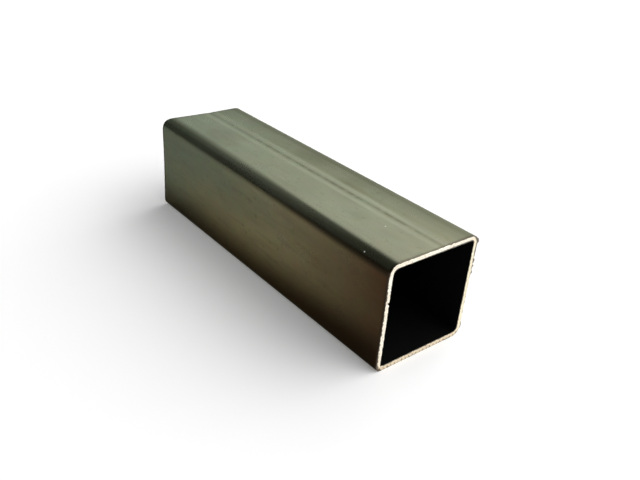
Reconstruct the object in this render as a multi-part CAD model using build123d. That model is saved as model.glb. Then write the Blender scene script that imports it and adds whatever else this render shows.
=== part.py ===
"""Square steel tube, one piece of stock sawn to length.

Steel strip is bent into a square with round corners and its two edges are
welded together.  The weld stands proud on both sides at first.  Outside it is
planed off, which leaves a shallow dished band along the tube.  Inside it is
cut back to a low bead.  The tube lies along X with the weld in its top face.

Millimetres.  Origin: middle of the length, on the underside.
"""
from build123d import *
import os

# The length and the section
length = 178.0          # from one sawn end to the other
width = 50.0            # across the outside faces, the same both ways
wall = 2.3              # thickness of the strip
bend_radius = 2.3       # inside radius of each corner

# The weld
weld_offset = 4.2       # from the middle of the top face, towards +Y
planed_width = 6.4      # band left by the plane, outside
planed_depth = 0.08     # depth of that band at its middle
bead_width = 1.8        # bead that stays inside
bead_height = 0.3       # how far it stands into the bore

# Worked out from the sizes above
outer_radius = bend_radius + wall
bore_width = width - 2 * wall
top = width / 2         # heights in the section are from the tube's axis
bore_top = bore_width / 2


def mound(middle, base, span, rise):
    """A low arc over a flat chord: the outline of a bead or, turned over, a dish."""
    left = (middle - span / 2, base)
    right = (middle + span / 2, base)
    arc = ThreePointArc(left, (middle, base + rise), right)
    return make_face([arc, Line(right, left)])


def tube_section():
    """The section, drawn about the tube's axis."""
    outside = RectangleRounded(width, width, outer_radius)
    bore = RectangleRounded(bore_width, bore_width, bend_radius)
    bead = mound(weld_offset, bore_top, bead_width, -bead_height)
    planed = mound(weld_offset, top, planed_width, -planed_depth)
    return outside - bore + bead - planed


def square_tube():
    """The section drawn out along X and set down on its underside."""
    across = Plane.YZ.offset(-length / 2)
    tube = extrude(across * tube_section(), amount=length)
    tube = Pos(0, 0, width / 2) * tube
    tube.label = "square_tube"
    return tube


os.makedirs("parts", exist_ok=True)
export_step(square_tube(), "parts/square_tube.step")
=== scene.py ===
"""A short piece of seam-welded square steel tube, as it comes from the mill and the saw.

One closed mesh stands for the tube.  It keeps the solid's section and adds what is too fine
for it: the slow bend into each corner, the rolled flats' hollow, the seam's groove, the saw's
marks, burrs and a nick.  The tube lies along X, with the sawn end that is seen at +X.  Lengths
are in metres, but for the three tables that say mm.
"""
import math

import bpy
import numpy as np
from mathutils import Matrix, Vector, noise


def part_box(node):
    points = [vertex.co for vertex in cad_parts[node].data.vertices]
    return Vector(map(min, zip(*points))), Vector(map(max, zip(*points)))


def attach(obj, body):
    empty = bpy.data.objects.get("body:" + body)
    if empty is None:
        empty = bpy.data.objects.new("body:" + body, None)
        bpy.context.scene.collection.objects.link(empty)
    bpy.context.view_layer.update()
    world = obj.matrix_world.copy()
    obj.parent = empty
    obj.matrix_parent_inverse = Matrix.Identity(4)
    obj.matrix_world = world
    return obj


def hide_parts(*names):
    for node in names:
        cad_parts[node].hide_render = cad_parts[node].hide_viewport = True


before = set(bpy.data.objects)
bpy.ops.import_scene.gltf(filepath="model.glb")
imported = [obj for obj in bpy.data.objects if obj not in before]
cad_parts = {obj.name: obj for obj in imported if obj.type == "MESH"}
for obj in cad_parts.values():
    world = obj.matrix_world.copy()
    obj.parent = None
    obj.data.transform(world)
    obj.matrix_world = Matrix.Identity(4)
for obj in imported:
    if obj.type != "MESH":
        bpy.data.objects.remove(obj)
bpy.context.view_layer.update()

MM = 0.001
LOW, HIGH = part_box("square_tube")

# The section
HALF_LENGTH = (HIGH.x - LOW.x) / 2
HALF_WIDTH = (HIGH.y - LOW.y) / 2
AXIS_HEIGHT = (HIGH.z + LOW.z) / 2
WALL = 2.3 * MM
CORNER_RADIUS = 4.6 * MM            # about what each corner's outside comes to
# The skin from flat to flat round each corner: +Y top, +Y bottom, -Y bottom and -Y top
CORNER_RUNS = [9.9 * MM, 11.2 * MM, 7.6 * MM, 12.6 * MM]
FLAT_STEPS = 140                    # points along each flat side of the section
CORNER_STEPS = 32                   # points round each corner
CURVE_STEPS = 40 * CORNER_STEPS     # steps in which a corner's curve is summed up
FLAT_NORMAL = 0.999                 # a point on the top's flat has a normal at least so upright

# The rings of points along the tube
END_GAPS = np.array([0.25, 0.6, 1.2, 2.4]) * MM     # the rings close to a sawn end
OUTSIDE_MARGIN, OUTSIDE_RINGS = 5 * MM, 52          # how far from each end the others start,
BORE_MARGIN, BORE_RINGS = 6 * MM, 18                # and how many there are
RIM_SHARES = np.array([0, 0.06, 0.2, 0.4, 0.6, 0.8, 0.94, 1])   # across the wall, from outside

# The weld, in the top face
WELD_OFFSET = 4.2 * MM              # from the middle of the face, towards +Y
PLANED_WIDTH = 6.4 * MM
PLANED_DEPTH = 0.08 * MM
SEAM_HALF_WIDTH = 0.55 * MM         # the fine groove that is left in the strip
SEAM_DEPTH = 0.03 * MM
BEAD_WIDTH = 1.8 * MM
BEAD_HEIGHT = 0.3 * MM

# The rolled faces
FLAT_HOLLOW = 0.22 * MM             # the top and both sides dip this much at their middle
HOLLOW_MARGIN = 5 * MM              # the dip begins this far from the outside of the section
HOLLOW_POWER = 1.5                  # and this gently
ROLL_WAVE = 0.02 * MM               # long waves left by the rolls
ROLL_WAVE_LENGTH = 45 * MM
ROLL_WAVE_STRETCH = [0.35, 1, 1]    # they are longest along the tube
BORE_WAVE = 0.03 * MM
BORE_WAVE_LENGTH = 9 * MM

# The sawn ends
SAW_PITCH = 1.9 * MM                # from one tooth mark to the next
SAW_DEPTH = 0.05 * MM
SAW_SLANT = math.radians(24)        # the marks' lean from upright
SAW_WANDER = 0.35 * SAW_PITCH       # how far a mark strays
SAW_WANDER_LENGTH = 5 * MM
SAW_PATCH_LENGTH = 7 * MM           # the marks are deeper and shallower in patches
CUT_GRAIN = 0.02 * MM               # the fine roughness of the cut
CUT_GRAIN_LENGTH = 0.5 * MM
EDGE_ROUND = 0.15 * MM              # how far the rim's edges are broken
EDGE_TEAR = 0.35 * MM               # how raggedly the saw left the bore's edge
TEAR_LENGTH = 0.8 * MM
TORN_FROM = 0.9                     # across the wall, from outside
TEAR_STILL = 0.35                   # a tear pulls harder the further it is past this share
BURR_REACH = 1.0 * MM               # the largest burr beyond the outside face
# How far up the +Y side each burr is, and how far it reaches up and down, in mm
BURRS = [(46.5, 2.6), (37.2, 1.6), (34.6, 1.0), (31.6, 1.8), (4.6, 2.4)]
BURR_SIDE = 4 * MM                  # they lie within this of the outside of the +Y side
BURR_ELSEWHERE = 0.06               # what the edge has all round, as a share of the largest
BURR_LEAST = 0.35                   # a burr's height varies from this share to the whole
BURR_COARSE, BURR_FINE = 0.9 * MM, 0.4 * MM         # how long the burrs' teeth are
NICK_HEIGHT = 32.6 * MM             # a nick in the bore's edge on the -Y side
NICK_SPAN = 0.9 * MM                # half its width
NICK_DEPTH = 0.9 * MM
NICK_FROM = 0.9 * MM                # it begins this deep in the wall, from outside,
NICK_FADE = 0.5 * MM                # and has its whole depth this much further in


def smooth_step(low, high, values):
    """0 below low, 1 above high and an S-curve between."""
    t = np.clip((values - low) / (high - low), 0, 1)
    return t * t * (3 - 2 * t)


def bump_at(middle, reach, values):
    """1 at the middle, falling to 0 at the reach on either side."""
    return 1 - smooth_step(0, reach, np.abs(values - middle))


def noise_field(points, scale, seed):
    """Smooth noise from -1 to 1 at each point, with features about scale across."""
    shift = Vector((seed * 17.3, seed * 5.1, seed * 9.7))
    flat = points.reshape(-1, 3) / scale
    values = [noise.noise(Vector(p) + shift) for p in flat]
    return np.array(values).reshape(points.shape[:-1])


def corner_curve(run):
    """A quarter bend from +Y to -Z: its points and outward directions, and how far it reaches."""
    share = np.linspace(0, 1, CURVE_STEPS + 1)
    angle = share ** 2 / (share ** 2 + (1 - share) ** 2) * math.pi / 2
    middle = (angle[1:] + angle[:-1]) / 2
    along = np.concatenate([[0], np.cumsum(np.cos(middle))]) * run / CURVE_STEPS
    down = np.concatenate([[0], np.cumsum(np.sin(middle))]) * run / CURVE_STEPS
    keep = slice(0, CURVE_STEPS, CURVE_STEPS // CORNER_STEPS)
    points = np.stack([along, -down], axis=1)[keep]
    outward = np.stack([np.sin(angle), np.cos(angle)], axis=1)[keep]
    return points, outward, along[-1]


def section_loop():
    """The outside of the section in (y, z) and its outward directions, clockwise from +X."""
    bends = [corner_curve(run) for run in CORNER_RUNS]
    points, normals = [], []
    for quarter, (bend, bend_out, reach) in enumerate(bends):
        start = -(HALF_WIDTH - bends[quarter - 1][2])
        end = HALF_WIDTH - reach
        spans = np.linspace(start, end, FLAT_STEPS, endpoint=False)
        flat = np.stack([spans, np.full(FLAT_STEPS, HALF_WIDTH)], axis=1)
        flat_out = np.tile([0.0, 1.0], (FLAT_STEPS, 1))
        turn = -quarter * math.pi / 2
        rotate = np.array([[math.cos(turn), math.sin(turn)], [-math.sin(turn), math.cos(turn)]])
        points += [flat @ rotate, (bend + [end, HALF_WIDTH]) @ rotate]
        normals += [flat_out @ rotate, bend_out @ rotate]
    return np.concatenate(points), np.concatenate(normals)


def ring(x, loop):
    """The loop's points, lifted to the tube's axis, at x, which is one value or one a point."""
    y, z = loop.T
    return np.stack([np.broadcast_to(x, y.shape), y, z + AXIS_HEIGHT], axis=1)


def outside_relief(points, normals):
    """How far the outside face stands off the plain section, at each point."""
    y, z = points[..., 1], points[..., 2]
    on_side = np.abs(normals[..., 0]) > 0.5
    across = np.where(on_side, z - AXIS_HEIGHT, y)
    hollow = np.clip(1 - (across / (HALF_WIDTH - HOLLOW_MARGIN)) ** 2, 0, 1) ** HOLLOW_POWER
    on_top = normals[..., 1] > FLAT_NORMAL
    under = normals[..., 1] < -0.5
    planed = np.clip(1 - (2 * (y - WELD_OFFSET) / PLANED_WIDTH) ** 2, 0, 1)
    seam = bump_at(WELD_OFFSET, SEAM_HALF_WIDTH, y)
    wave = noise_field(points * ROLL_WAVE_STRETCH, ROLL_WAVE_LENGTH, seed=1)
    relief = -FLAT_HOLLOW * hollow * ~under + ROLL_WAVE * (wave - 1)
    return relief - on_top * (PLANED_DEPTH * planed + SEAM_DEPTH * seam)


def bore_relief(points, normals):
    """How far the bore's face stands in from the plain section, at each point."""
    y = points[..., 1]
    on_top = normals[..., 1] > FLAT_NORMAL
    bead = np.clip(1 - (2 * (y - WELD_OFFSET) / BEAD_WIDTH) ** 2, 0, 1)
    wave = noise_field(points, BORE_WAVE_LENGTH, seed=2)
    return on_top * BEAD_HEIGHT * bead + BORE_WAVE * wave


def burr(points):
    """How far the saw has pushed metal past the outside edge, at each point of a rim."""
    coarse = np.abs(noise_field(points, BURR_COARSE, seed=3))
    fine = np.abs(noise_field(points, BURR_FINE, seed=4))
    ragged = np.clip(BURR_LEAST + coarse + 0.5 * fine, 0, 1)
    y, z = points[..., 1], points[..., 2]
    on_right = y > HALF_WIDTH - BURR_SIDE
    zones = sum(bump_at(middle * MM, reach * MM, z) for middle, reach in BURRS)
    return BURR_REACH * ragged * np.clip(BURR_ELSEWHERE + on_right * zones, 0, 1)


def saw_marks(points):
    """How deep the saw's marks lie in the rim, at each point."""
    y, z = points[..., 1], points[..., 2]
    across = y * math.cos(SAW_SLANT) + z * math.sin(SAW_SLANT)
    wander = SAW_WANDER * noise_field(points, SAW_WANDER_LENGTH, seed=5)
    stroke = np.sin((across + wander) * 2 * math.pi / SAW_PITCH)
    strength = 0.6 + 0.4 * noise_field(points, SAW_PATCH_LENGTH, seed=6)
    grain = noise_field(points, CUT_GRAIN_LENGTH, seed=7)
    return SAW_DEPTH * strength * (0.5 + 0.5 * stroke) + CUT_GRAIN * grain


def nick(points):
    """How deep the nick lies in the rim, at each point."""
    y, z = points[..., 1], points[..., 2]
    reach = HALF_WIDTH - NICK_FROM
    from_bore = smooth_step(-reach, -reach + NICK_FADE, y) * (y < 0)
    return NICK_DEPTH * bump_at(NICK_HEIGHT, NICK_SPAN, z) * from_bore


def tube_rings():
    """Every ring of the tube's closed skin, in order, with the name of the part it belongs to."""
    outer, outward = section_loop()
    inner = outer - WALL * outward
    outward3 = np.concatenate([np.zeros((len(outer), 1)), outward], axis=1)

    plain = HALF_LENGTH - OUTSIDE_MARGIN
    middle = np.linspace(-plain, plain, OUTSIDE_RINGS)
    outside_x = np.concatenate([-HALF_LENGTH + END_GAPS, middle, HALF_LENGTH - END_GAPS[::-1]])
    outside = np.stack([ring(x, outer) for x in outside_x])
    outside += outside_relief(outside, outward)[..., None] * outward3

    plain = HALF_LENGTH - BORE_MARGIN
    middle = np.linspace(plain, -plain, BORE_RINGS)
    bore_x = np.concatenate([HALF_LENGTH - END_GAPS, middle, -HALF_LENGTH + END_GAPS[::-1]])
    bore = np.stack([ring(x, inner) for x in bore_x])
    bore -= bore_relief(bore, outward)[..., None] * outward3

    rims = []
    for end, last_x in ((1, outside_x[-1]), (-1, outside_x[0])):
        rim = np.stack([ring(end * HALF_LENGTH, outer + (inner - outer) * s) for s in RIM_SHARES])
        skin = outside_relief(ring(last_x, outer), outward) * (1 - RIM_SHARES[:, None])
        rim += skin[..., None] * outward3
        depth = saw_marks(rim) + EDGE_ROUND * ((RIM_SHARES == 0) + (RIM_SHARES == 1))[:, None]
        tear = EDGE_TEAR * np.abs(noise_field(rim, TEAR_LENGTH, seed=8))
        tear = tear * (RIM_SHARES > TORN_FROM)[:, None]
        rim += tear[..., None] * outward3 * (TEAR_STILL - RIM_SHARES)[:, None, None]
        if end > 0:
            depth = depth + nick(rim)
        rim[..., 0] -= end * depth
        rim[:1] += burr(rim[:1])[..., None] * outward3
        rims.append(rim)
    near_rim, far_rim = rims[0], rims[1][::-1]
    return [("outside", outside), ("rim", near_rim), ("bore", bore), ("rim", far_rim)]


def build_tube(materials):
    """The tube's mesh, with a material for each part of its skin."""
    parts = tube_rings()
    grid = np.concatenate([rings for _, rings in parts])
    grid[..., 2] = np.maximum(grid[..., 2], 0)
    rings, around = grid.shape[:2]
    index = np.arange(rings * around).reshape(rings, around)
    ahead = np.roll(index, -1, axis=0)
    quads = [index, np.roll(index, -1, axis=1), np.roll(ahead, -1, axis=1), ahead]
    quads = np.stack(quads, axis=-1)
    mesh = bpy.data.meshes.new("square_tube_skin")
    mesh.from_pydata(grid.reshape(-1, 3).tolist(), [], quads.reshape(-1, 4).tolist())
    order = list(materials)
    for name in order:
        mesh.materials.append(materials[name])
    slots = []
    for name, part in parts:
        slots += [order.index(name)] * len(part) * around
    mesh.polygons.foreach_set("material_index", slots)
    mesh.polygons.foreach_set("use_smooth", [True] * len(slots))
    mesh.update()
    tube = bpy.data.objects.new("square_tube_skin", mesh)
    bpy.context.collection.objects.link(tube)
    return tube


# --- Materials -------------------------------------------------------------------------------

# Smudges on the top, in mm: where each is, its half-widths and how strong it is
SMUDGES = [((-7, 12.5, 50), (17, 8, 6), 0.24), ((25, 13, 50), (10, 8, 6), 0.10),
           ((52, -7, 50), (7, 7, 6), 0.16), ((72, -8, 50), (9, 4, 6), 0.08)]
# Bright specks, in mm: where each is, and its radius
FLECKS = [((64.0, -4.1, 49.8), 0.45), ((73.4, -23.8, 48.3), 0.55)]

# The mill surface's colours, as linear light.  Left is the -Y side and right the +Y side.
# The plain strip and the marks all over it
FAR_STEEL = (0.372, 0.440, 0.318, 1)        # greener towards the far end
MIDDLE_STEEL = (0.362, 0.388, 0.275, 1)
NEAR_STEEL = (0.288, 0.288, 0.204, 1)       # warmer towards the near end
PALE_STEEL = (0.60, 0.66, 0.48, 1)          # a little of it on the far half
BLOTCH = (0.335, 0.355, 0.250, 1)
STREAK = (0.280, 0.310, 0.205, 1)
STROKE = (0.200, 0.215, 0.135, 1)
SPOT = (0.130, 0.140, 0.090, 1)

# On the top and round its corners
SMUDGE = (0.150, 0.160, 0.090, 1)
STAIN = (0.190, 0.192, 0.105, 1)
CLOUD = (0.235, 0.238, 0.165, 1)
# Painted highlights along the planed band's edges, and painted shade along the seam
WELD_EDGE_HIGHLIGHT = (0.60, 0.63, 0.46, 1)
SEAM_SHADE = (0.12, 0.12, 0.06, 1)
# Painted shade round the corners, and in a line just under the -Y top corner
RIGHT_CORNER_SHADE = (0.062, 0.068, 0.038, 1)
LEFT_CORNER_SHADE = (0.088, 0.098, 0.058, 1)
CORNER_SHADE = (0.012, 0.009, 0.004, 1)

# Down the sides.  The -Y side's far, middle, near and upper colours are painted shade and
# reflection
FAR_SIDE_SHADE = (0.071, 0.091, 0.061, 1)
MIDDLE_SIDE_SHADE = (0.263, 0.224, 0.111, 1)
NEAR_SIDE_SHADE = (0.041, 0.0158, 0.006, 1)
UPPER_SIDE_SHADE = (0.089, 0.108, 0.076, 1)
RIGHT_FILM = [(0.150, 0.165, 0.100, 1), (0.170, 0.170, 0.095, 1)]       # far and near
FILM_STROKE = (0.066, 0.058, 0.034, 1)
FILM_SPOT = (0.040, 0.036, 0.022, 1)
# Painted shade low down on the sides
FAR_LOW_SHADE = (0.017, 0.0057, 0.0005, 1)
NEAR_LOW_SHADE = (0.0115, 0.0048, 0.001, 1)

END_DARKENING = (0.030, 0.020, 0.011, 1)            # beside the sawn ends
FLECK = (0.84, 0.84, 0.80, 1)
METAL = 0.9                                 # how metallic the surface is, but for its flecks
METAL_TINT = (0.5, 0.5, 0.47, 1)            # of its reflections at a slant
MOTTLE_SCALE = 190.0                        # of the faint mottling, in patches a metre

# The sawn steel's colours
SAWN_PALE = (0.88, 0.84, 0.72, 1)
SAWN_WARM = (0.86, 0.78, 0.64, 1)
SAWN_RIGHT = (0.80, 0.72, 0.50, 1)
SAWN_BOTTOM = (0.62, 0.50, 0.32, 1)
SAWN_MIDDLE = (0.62, 0.54, 0.42, 1)
TOOTH_MARK = (0.12, 0.065, 0.028, 1)
SAWN_SPECK = (0.36, 0.24, 0.15, 1)
RIM_EDGE_DARK = (0.050, 0.032, 0.018, 1)
BORE_EDGE = (0.060, 0.048, 0.034, 1)

# Near black: dark scale and oil, and painted shade of the inside
BORE_SCALE_AND_SHADE = [(0.0016, 0.0023, 0.0019, 1), (0.0032, 0.0037, 0.0031, 1)]


class Nodes:
    """A short way to write a material's or the world's nodes."""

    def __init__(self, tree):
        self.tree = tree

    @classmethod
    def material(cls, name):
        made = bpy.data.materials.new(name)
        made.use_nodes = True
        nodes = cls(made.node_tree)
        nodes.made = made
        nodes.shader = made.node_tree.nodes["Principled BSDF"]
        return nodes

    def finished(self, values):
        """The material, with these values given to its shader's own sockets."""
        for key, value in values.items():
            self.give(self.shader.inputs[key], value)
        return self.made

    def add(self, kind, inputs=None, **settings):
        node = self.tree.nodes.new(kind)
        for key, value in settings.items():
            setattr(node, key, value)
        for key, value in (inputs or {}).items():
            self.give(node.inputs[key], value)
        return node

    def give(self, socket, value):
        if isinstance(value, bpy.types.NodeSocket):
            self.tree.links.new(value, socket)
        else:
            socket.default_value = value

    def place(self):
        """The point's place on the tube."""
        return self.add("ShaderNodeTexCoord").outputs["Object"]

    def split(self, vector):
        return self.add("ShaderNodeSeparateXYZ", {"Vector": vector}).outputs

    def vector(self, operation, *values):
        """The outputs of this operation on vectors."""
        inputs = dict(enumerate(values))
        return self.add("ShaderNodeVectorMath", inputs, operation=operation).outputs

    def scaled(self, vector, scale):
        return self.vector("MULTIPLY", vector, scale)[0]

    def turned(self, vector, rotation, scale):
        inputs = {"Vector": vector, "Rotation": rotation, "Scale": scale}
        return self.add("ShaderNodeMapping", inputs).outputs["Vector"]

    def noise(self, vector, scale, detail=3.0, roughness=0.5, output="Fac"):
        inputs = {"Vector": vector, "Scale": scale, "Detail": detail, "Roughness": roughness}
        return self.add("ShaderNodeTexNoise", inputs).outputs[output]

    def mottled(self, tone, vector, amount):
        """The tone with its red, green and blue each a little up or down from place to place."""
        folds = self.noise(vector, MOTTLE_SCALE, 2.0, output="Color")
        gain = self.vector("MULTIPLY_ADD", folds, [amount] * 3, [1 - amount / 2] * 3)[0]
        return self.vector("MULTIPLY", tone, gain)[0]

    def math(self, operation, a, b=0.0, clamp=False):
        node = self.add("ShaderNodeMath", {0: a, 1: b}, operation=operation, use_clamp=clamp)
        return node.outputs[0]

    def absolute(self, value):
        return self.math("ABSOLUTE", value)

    def minus(self, a, b, clamp=False):
        return self.math("SUBTRACT", a, b, clamp)

    def total(self, first, *others):
        for other in others:
            first = self.math("ADD", first, other)
        return first

    def product(self, first, *others):
        for other in others:
            first = self.math("MULTIPLY", first, other)
        return first

    def ramp(self, value, low, high, out_low=0.0, out_high=1.0):
        """out_low where the value is below low, out_high above high and an S-curve between."""
        inputs = {"Value": value, "From Min": low, "From Max": high,
                  "To Min": out_low, "To Max": out_high}
        node = self.add("ShaderNodeMapRange", inputs, interpolation_type="SMOOTHSTEP")
        return node.outputs["Result"]

    def sway(self, folds, low, high, reach):
        """A noise's folds as a shift of up to this reach either way."""
        return self.ramp(folds, low, high, -reach, reach)

    def band(self, value, middle, half_width):
        """1 at the middle, falling to 0 at half_width on either side."""
        return self.ramp(self.absolute(self.minus(value, middle)), 0.0, half_width, 1.0, 0.0)

    def smudge(self, place, middle, reach):
        """1 about the middle, falling to 0 at these half-widths along each axis, all in mm."""
        off = self.vector("SUBTRACT", place, [c * MM for c in middle])[0]
        off = self.scaled(off, [1 / (r * MM) for r in reach])
        return self.ramp(self.vector("LENGTH", off)["Value"], 0.25, 1.0, 1.0, 0.0)

    def wall_depth(self, y, up):
        """How deep the point is in the wall from its outside."""
        core = HALF_WIDTH - CORNER_RADIUS
        off_y, off_up = self.minus(self.absolute(y), core), self.minus(self.absolute(up), core)
        past_y, past_up = self.math("MAXIMUM", off_y, 0.0), self.math("MAXIMUM", off_up, 0.0)
        square = self.total(self.product(past_y, past_y), self.product(past_up, past_up))
        short = self.math("MINIMUM", self.math("MAXIMUM", off_y, off_up), 0.0)
        return self.minus(CORNER_RADIUS, self.total(self.math("SQRT", square), short))

    def mix(self, share, a, b):
        node = self.add("ShaderNodeMix", {"Factor": share}, data_type="RGBA")
        a_socket, b_socket = [s for s in node.inputs if s.type == "RGBA"]
        self.give(a_socket, a)
        self.give(b_socket, b)
        return next(s for s in node.outputs if s.type == "RGBA")

    def layered(self, tone, layers):
        """The tone with each layer's colour laid over it in turn, by the layer's share."""
        for share, colour in layers:
            tone = self.mix(share, tone, colour)
        return tone

    def bump(self, height, strength, distance, normal=None):
        inputs = {"Height": height, "Strength": strength, "Distance": distance}
        if normal is not None:
            inputs["Normal"] = normal
        return self.add("ShaderNodeBump", inputs).outputs["Normal"]


class MillPatterns:
    """The places, zones and noises that the mill surface's marks are made of."""

    def __init__(self, n):
        self.place = place = n.place()
        self.x, self.y, self.z = n.split(place)
        self.up = n.minus(self.z, AXIS_HEIGHT)
        self.out = n.absolute(self.y)
        self.from_turn = n.minus(self.up, self.out)     # 0 at a top corner's middle, + on the top
        self.on_top = n.ramp(self.up, 23.5 * MM, 24.4 * MM)
        self.upper_half = n.ramp(self.up, -2 * MM, 2 * MM)
        self.on_right = n.ramp(self.y, -1 * MM, 1 * MM)

        self.drawn = n.scaled(place, (0.7, 1.0, 1.0))   # a little drawn out along the tube
        self.streaks = n.noise(n.scaled(place, (0.03, 1.0, 1.0)), 900.0, 4.0, 0.6)
        self.blotches = n.noise(n.scaled(place, (0.6, 1.0, 1.0)), 55.0, 3.0, 0.55)
        self.clouds = n.noise(self.drawn, 26.0, 2.0)
        self.grain = n.noise(place, 1600.0, 2.0)
        self.spots = n.noise(place, 330.0, 1.0)
        slanted = n.turned(place, (0.35, 0.55, 0.6), (0.12, 1.0, 1.0))
        self.strokes = n.noise(slanted, 420.0, 3.0, 0.55)


def strip_tone(n, at):
    """The plain strip, greener towards the far end and warmer towards the near one."""
    x = at.x
    pale = n.product(n.band(x, -42 * MM, 42 * MM), n.ramp(at.y, -4 * MM, 3 * MM, 0.17, 0.0))
    return n.layered(n.mix(n.ramp(x, -85 * MM, 20 * MM), FAR_STEEL, MIDDLE_STEEL), [
        (n.ramp(x, 30 * MM, 95 * MM), NEAR_STEEL),
        (pale, PALE_STEEL),
        (n.ramp(at.blotches, 0.35, 0.7, 0.0, 0.2), BLOTCH),
        (n.ramp(at.streaks, 0.3, 0.75, 0.0, 0.14), STREAK),
        (n.ramp(at.strokes, 0.48, 0.72, 0.0, 0.16), STROKE),
    ])


def smudged(n, at, tone):
    """The tone with the larger smudges, wavy in outline, and small spots."""
    folds = {"X": at.blotches, "Y": at.clouds}
    waves = {axis: n.sway(fold, 0.3, 0.7, 2.5 * MM) for axis, fold in folds.items()}
    wavy = n.vector("ADD", at.place, n.add("ShaderNodeCombineXYZ", waves).outputs[0])[0]
    for middle, reach, share in SMUDGES:
        tone = n.mix(n.product(n.smudge(wavy, middle, reach), share), tone, SMUDGE)
    return n.mix(n.ramp(at.spots, 0.64, 0.72, 0.0, 0.16), tone, SPOT)


def weld_marks(n, at, tone):
    """The tone with the top's stains, the planed band's pale edges as painted highlights and the
    seam's dark line as painted shade.
    """
    x, y, clouds = at.x, at.y, at.clouds

    # Duller past the weld, and more so in a strip beside it
    wander = n.total(y, n.sway(clouds, 0.2, 0.8, 0.8 * MM))
    past = n.ramp(wander, WELD_OFFSET + 3.0 * MM, WELD_OFFSET + 6.0 * MM)
    past = n.product(past, at.on_top, n.ramp(clouds, 0.38, 0.60, 0.40, 1.0))
    beside = n.product(n.band(wander, 9.5 * MM, 3.2 * MM),
                       n.ramp(x, -50 * MM, -10 * MM, 0.0, 0.18), at.on_top)
    stained = n.total(n.product(past, 0.50), beside)
    cloudy = n.product(n.ramp(clouds, 0.55, 0.66), at.on_top, 0.26)

    # The planed band's edges are painted highlights.  They fade towards the near end, and the far
    # edge narrows there
    near_edge = n.product(n.band(y, WELD_OFFSET - 3.2 * MM, 2.0 * MM), 0.22)
    far_middle = n.ramp(x, 35 * MM, 70 * MM, WELD_OFFSET + 2.65 * MM, WELD_OFFSET + 2.3 * MM)
    far_half_width = n.ramp(x, 35 * MM, 70 * MM, 2.1 * MM, 1.5 * MM)
    far_edge = n.product(n.band(y, far_middle, far_half_width), 0.36)
    fading = n.ramp(x, 40 * MM, 85 * MM, 1.0, 0.3)
    edges = n.product(n.total(near_edge, far_edge), fading, at.on_top)

    # The seam's line is painted shade of its groove.  It is broken, and faint towards both ends
    breaks = n.noise(n.scaled(at.place, (1.0, 0.2, 0.2)), 220.0)
    from_middle = n.absolute(n.minus(x, 22 * MM))
    strength = n.product(n.ramp(breaks, 0.36, 0.58, 0.4, 1.0),
                         n.ramp(from_middle, 25 * MM, 75 * MM, 0.57, 0.28))
    line = n.product(n.band(y, WELD_OFFSET - 0.15 * MM, 1.5 * MM), strength, at.on_top)
    return n.layered(tone, [(stained, STAIN), (cloudy, CLOUD), (edges, WELD_EDGE_HIGHLIGHT),
                            (line, SEAM_SHADE)])


def shade_corners(n, at, tone):
    """The tone with painted shade round the corners, at +Y all along and at -Y least about the
    middle.
    """
    x, from_turn = at.x, at.from_turn

    round_off = n.total(at.out, n.absolute(at.up))
    # Painted shade round the +Y corners
    right = n.product(n.ramp(round_off, 34 * MM, 42 * MM), n.ramp(x, -60 * MM, 40 * MM, 0.14, 0.28))
    outermost = n.ramp(x, 30 * MM, 55 * MM, 0.30, 0.24)
    right = n.total(right, n.ramp(round_off, 41.6 * MM, 45.0 * MM, 0.0, outermost))
    tone = n.mix(n.product(right, at.on_right), tone, RIGHT_CORNER_SHADE)

    # Painted shade round the -Y top corner
    shade_from = n.ramp(x, -60 * MM, 105 * MM, 9.4 * MM, 4.2 * MM)
    shade_to = n.ramp(x, -20 * MM, 75 * MM, 5.8 * MM, 2.55 * MM)
    at_turn = n.total(n.product(n.band(x, -22 * MM, 34 * MM), 0.15),
                      n.ramp(x, 40 * MM, 68 * MM, 0.16, 0.0))
    most = n.total(n.ramp(x, -75 * MM, -10 * MM, 0.62, 0.46),
                   n.ramp(x, 22 * MM, 92 * MM, 0.0, 0.50),
                   n.ramp(from_turn, 0.2 * MM, 2.2 * MM, at_turn, 0.0))
    most = n.minus(most, n.product(n.band(from_turn, 3.0 * MM, 2.2 * MM), 0.10))
    left = n.math("MULTIPLY", most, n.ramp(from_turn, shade_to, shade_from, 1.0, 0.0), clamp=True)
    left = n.product(left, at.upper_half)
    return n.mix(n.minus(left, at.on_right, clamp=True), tone, LEFT_CORNER_SHADE)


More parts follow.
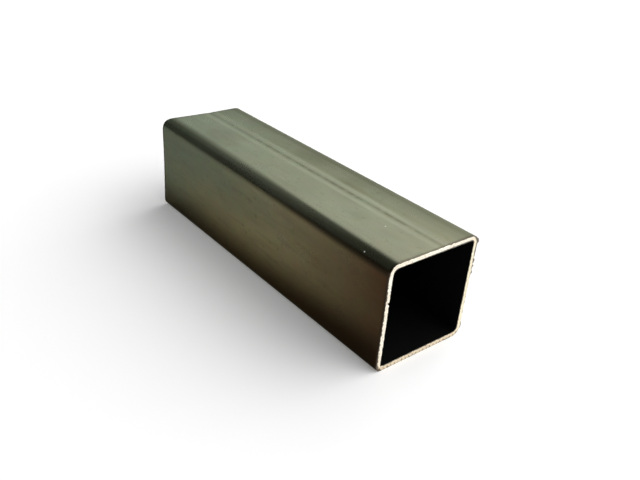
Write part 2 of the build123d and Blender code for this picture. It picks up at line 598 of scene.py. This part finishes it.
def side_film_and_shade(n, at):
    """The sides' dark film: on the -Y side it is painted shade and reflection, browner towards the
    near end, and low down it is painted shade.
    """
    x, clouds = at.x, at.clouds
    drift = n.total(x, n.sway(clouds, 0.2, 0.8, 6 * MM))
    upper = n.product(n.ramp(at.up, -15 * MM, 15.6 * MM),
                      n.ramp(drift, -60 * MM, 120 * MM, 0.82, 0.0))
    near = n.total(drift, n.product(at.up, 0.36))
    # On the -Y side these colours are painted shade and reflection
    film = n.layered(n.mix(n.ramp(drift, -111 * MM, 2 * MM), FAR_SIDE_SHADE, MIDDLE_SIDE_SHADE), [
        (upper, UPPER_SIDE_SHADE),
        (n.ramp(near, -9 * MM, 114 * MM), NEAR_SIDE_SHADE),
        (at.on_right, n.mix(n.ramp(drift, -90 * MM, 90 * MM), *RIGHT_FILM)),
        (n.ramp(at.strokes, 0.46, 0.68, 0.0, 0.17), FILM_STROKE),
        (n.ramp(at.spots, 0.65, 0.75, 0.0, 0.22), FILM_SPOT),
    ])
    # Painted shade low down on the sides, darkest at the bottom edge
    low = n.total(at.z, n.sway(clouds, 0.2, 0.8, 0.8 * MM))
    low_shade_from = n.ramp(x, -80 * MM, 95 * MM, -1.9 * MM, 7.0 * MM)
    low_shade_to = n.ramp(x, -90 * MM, 0.0, 21.5 * MM, 26.0 * MM)
    low_shade = n.mix(n.ramp(x, 30 * MM, 90 * MM), FAR_LOW_SHADE, NEAR_LOW_SHADE)
    film = n.mix(n.ramp(low, low_shade_from, low_shade_to, 0.93, 0.0), film, low_shade)
    return n.mottled(film, at.drawn, 0.26)


def corner_shade(n, at):
    """How strong the painted shade is that runs as a dark line just under the corner of the -Y
    side.
    """
    x = at.x
    middle = n.ramp(x, 35 * MM, 60 * MM, -2.9 * MM, -3.2 * MM)
    half_width = n.ramp(x, 35 * MM, 60 * MM, 3.1 * MM, 3.25 * MM)
    share = n.total(n.ramp(x, -85 * MM, 65 * MM, 0.15, 0.885),
                    n.ramp(x, 55 * MM, 75 * MM, 0.0, 0.075))
    shade = n.product(n.band(at.from_turn, middle, half_width), share)
    return n.product(n.minus(shade, at.on_right, clamp=True), at.upper_half)


def darker_ends(n, at):
    """How much darker the surface is beside the sawn ends."""
    ragged = n.total(n.absolute(at.x), n.sway(at.streaks, 0.3, 0.7, 0.25 * MM))
    ends = n.ramp(ragged, HALF_LENGTH - 1.6 * MM, HALF_LENGTH - 0.7 * MM)
    return n.product(ends, n.ramp(at.up, 23 * MM, 24.5 * MM, 0.88, 0.35))


def mill_surface():
    """Rolled strip with a thin film of oil: dull olive grey, browner and darker down its sides,
    which on the -Y side is painted shade and reflection.
    """
    n = Nodes.material("mill_surface")
    at = MillPatterns(n)
    tone = weld_marks(n, at, smudged(n, at, strip_tone(n, at)))
    tone = shade_corners(n, at, n.mottled(tone, at.drawn, 0.12))
    flecks = 0.0
    for middle, size in FLECKS:
        flecks = n.math("MAXIMUM", flecks, n.smudge(at.place, middle, [size] * 3))
    on_side = n.ramp(at.out, 24.0 * MM, 24.65 * MM)
    tone = n.layered(tone, [(on_side, side_film_and_shade(n, at)), (corner_shade(n, at), CORNER_SHADE),
                            (darker_ends(n, at), END_DARKENING), (flecks, FLECK)])
    return n.finished({
        "Base Color": tone,
        "Metallic": n.minus(METAL, n.product(flecks, METAL)),
        "Specular Tint": METAL_TINT,
        "Roughness": n.total(n.ramp(at.blotches, 0.3, 0.7, 0.27, 0.33),
                             n.sway(at.grain, 0.2, 0.8, 0.02)),
        "Normal": n.bump(at.streaks, 0.05, 0.0002, n.bump(at.grain, 0.03, 0.0001)),
    })


def sawn_steel():
    """Fresh cut steel, bright, with the saw's marks across it and darker at its edges."""
    n = Nodes.material("sawn_steel")
    place = n.place()
    y, z = n.split(place)[1:]
    up = n.minus(z, AXIS_HEIGHT)
    depth = n.wall_depth(y, up)
    fine = n.noise(n.scaled(place, (1.0, 1.0, 0.5)), 1500.0)
    ragged = n.noise(place, 850.0)
    warm = n.noise(place, 90.0, 2.0)
    bottom = n.ramp(z, 1.0 * MM, 4.0 * MM, 1.0, 0.0)

    # The teeth's marks: small dots across the wall, strongest along the bottom
    along = n.total(n.product(y, math.cos(SAW_SLANT)), n.product(z, math.sin(SAW_SLANT)),
                    n.sway(ragged, 0.2, 0.8, 0.15 * SAW_PITCH))
    teeth = n.math("SINE", n.product(along, 2 * math.pi / SAW_PITCH))
    uneven = n.ramp(n.noise(place, 350.0, 1.0), 0.38, 0.58, 0.45, 1.0)
    dots = n.product(n.ramp(teeth, 0.35, 0.75), n.band(depth, 0.7 * MM, 1.15 * MM),
                     n.total(0.12, n.product(bottom, 0.85)), uneven)
    specks = n.product(n.ramp(n.noise(place, 1000.0, 2.0), 0.60, 0.70), 0.6)
    middle = n.product(n.band(depth, 1.15 * MM, 0.45 * MM), n.ramp(warm, 0.4, 0.6, 0.1, 0.5))

    # Darker along both edges of the wall, raggedly, and most at the burrs, where it is painted
    # shade of the burrs
    burrs = n.product(n.ramp(y, 22 * MM, 24 * MM, 0.0, 0.50 * MM), n.band(z, 42 * MM, 14 * MM))
    left = n.ramp(y, -24 * MM, -23 * MM, 0.22 * MM, 0.0)
    shift = n.product(n.sway(ragged, 0.3, 0.7, 0.28 * MM), n.ramp(up, 17 * MM, 22 * MM, 1.0, 0.3))
    shift = n.minus(shift, n.total(burrs, left))
    edge_dark = n.ramp(n.total(depth, shift), 0.20 * MM, 0.42 * MM, 1.0, 0.0)
    thin = n.product(n.ramp(up, 20 * MM, 23 * MM),
                     n.ramp(y, -20 * MM, 22 * MM, 0.12 * MM, 0.42 * MM))
    inner = n.total(depth, thin, n.product(shift, 0.6))
    inner = n.ramp(inner, WALL - 0.30 * MM, WALL - 0.12 * MM)

    tone = n.layered(n.mix(n.ramp(warm, 0.35, 0.65), SAWN_PALE, SAWN_WARM), [
        (n.ramp(y, 20 * MM, 24 * MM, 0.0, 0.8), SAWN_RIGHT),
        (n.product(bottom, 0.85), SAWN_BOTTOM),
        (dots, TOOTH_MARK),
        (specks, SAWN_SPECK),
        (middle, SAWN_MIDDLE),
        (n.product(edge_dark, 0.95), RIM_EDGE_DARK),
        (n.product(inner, 0.90), BORE_EDGE),
    ])
    return n.finished({"Base Color": tone, "Metallic": 0.4, "Roughness": 0.45,
                       "Normal": n.bump(fine, 0.3, 0.0001)})


def bore_scale_and_shade():
    """The inside, which is dark with scale and oil, and whose colour is made near black as painted
    shade.
    """
    n = Nodes.material("bore_scale_and_shade")
    cloud = n.noise(n.place(), 120.0, 4.0)
    return n.finished({"Base Color": n.mix(cloud, *BORE_SCALE_AND_SHADE), "Roughness": 0.7,
                       "Specular IOR Level": 0.04, "Normal": n.bump(cloud, 0.2, 0.0002)})


# --- Floor, light and camera -------------------------------------------------------------------

WHITE = (1, 1, 1, 1)
FLOOR_REACH = 4.0
FLOOR_COLOUR = (0.90, 0.90, 0.90, 1)
FLOOR_GLOW = 0.17                   # seen by the camera and by the steel, but lighting nothing
SKY_LEVEL = 0.14                    # the dim light from everywhere
# Each lamp lies round its direction, from none at the low end of its range to all at the high
WINDOW = Vector((0.45, 1.0, -1.0)).normalized()     # a long low panel beyond the tube
WINDOW_RANGE = (-0.33, -0.10)
WINDOW_GAIN = 1.15
WINDOW_FADE = (-0.95, -0.45, 0.80, 1.12)            # it is brighter towards the sawn end
FRONT = Vector((0.6, 0.75, 0.3)).normalized()       # a large soft box on the sawn end's side
FRONT_RANGE = (0.2, 0.8)
FRONT_GAIN = 2.35

CAMERA_PLACE = Vector((0.23726, -0.18835, 0.17780))
CAMERA_AIM = Vector((0.01213, 0.00629, 0.01571))
CAMERA_ROLL = math.radians(4.96)
SENSOR_WIDTH = 36.0                 # in mm, and so is the lens
LENS = 39.01
CLIP_RANGE = (0.01, 50.0)


def add_floor():
    """A plain pale floor."""
    reach = FLOOR_REACH
    corners = [(-reach, -reach, 0), (reach, -reach, 0), (reach, reach, 0), (-reach, reach, 0)]
    mesh = bpy.data.meshes.new("floor")
    mesh.from_pydata(corners, [], [(0, 1, 2, 3)])
    n = Nodes.material("floor")
    rays = n.add("ShaderNodeLightPath").outputs
    seen = n.math("MAXIMUM", rays["Is Glossy Ray"], rays["Is Transmission Ray"])
    seen = n.math("MAXIMUM", rays["Is Camera Ray"], seen)
    mesh.materials.append(n.finished({
        "Base Color": FLOOR_COLOUR, "Roughness": 0.9, "Specular IOR Level": 0.0,
        "Emission Color": WHITE, "Emission Strength": n.product(seen, FLOOR_GLOW),
    }))
    floor = bpy.data.objects.new("floor", mesh)
    bpy.context.collection.objects.link(floor)


def add_light():
    """Soft light from all round, a long panel beyond the tube and a soft box near its sawn end."""
    world = bpy.data.worlds.new("studio")
    bpy.context.scene.world = world
    world.use_nodes = True
    n = Nodes(world.node_tree)
    n.tree.nodes.clear()
    way = n.add("ShaderNodeTexCoord").outputs["Generated"]
    to_window, to_front = (n.vector("DOT_PRODUCT", way, lamp)["Value"] for lamp in (WINDOW, FRONT))
    window = n.product(n.ramp(to_window, *WINDOW_RANGE, 0.0, WINDOW_GAIN),
                       n.ramp(n.split(way)[0], *WINDOW_FADE))
    front = n.ramp(to_front, *FRONT_RANGE, 0.0, FRONT_GAIN)
    strength = n.total(SKY_LEVEL, n.total(window, front))
    light = n.add("ShaderNodeBackground", {"Strength": strength})
    backdrop = n.add("ShaderNodeBackground", {"Color": WHITE})
    seen = n.add("ShaderNodeLightPath").outputs["Is Camera Ray"]
    both = n.add("ShaderNodeMixShader", {0: seen, 1: light.outputs[0], 2: backdrop.outputs[0]})
    n.add("ShaderNodeOutputWorld", {"Surface": both.outputs[0]})


def add_camera():
    """The camera above the near end, turned a little about its line of sight."""
    camera = bpy.data.cameras.new("camera")
    camera.sensor_width = SENSOR_WIDTH
    camera.lens = LENS
    camera.clip_start, camera.clip_end = CLIP_RANGE
    holder = bpy.data.objects.new("camera", camera)
    look = (CAMERA_AIM - CAMERA_PLACE).to_track_quat("-Z", "Y").to_matrix()
    turn = Matrix.Rotation(CAMERA_ROLL, 3, "Z")
    holder.matrix_world = Matrix.Translation(CAMERA_PLACE) @ (look @ turn).to_4x4()
    bpy.context.collection.objects.link(holder)
    bpy.context.scene.camera = holder


materials = {"outside": mill_surface(), "rim": sawn_steel(), "bore": bore_scale_and_shade()}
tube = build_tube(materials)
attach(tube, "root")
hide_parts("square_tube")

add_floor()
add_light()
add_camera()
bpy.context.scene.view_settings.view_transform = "Standard"
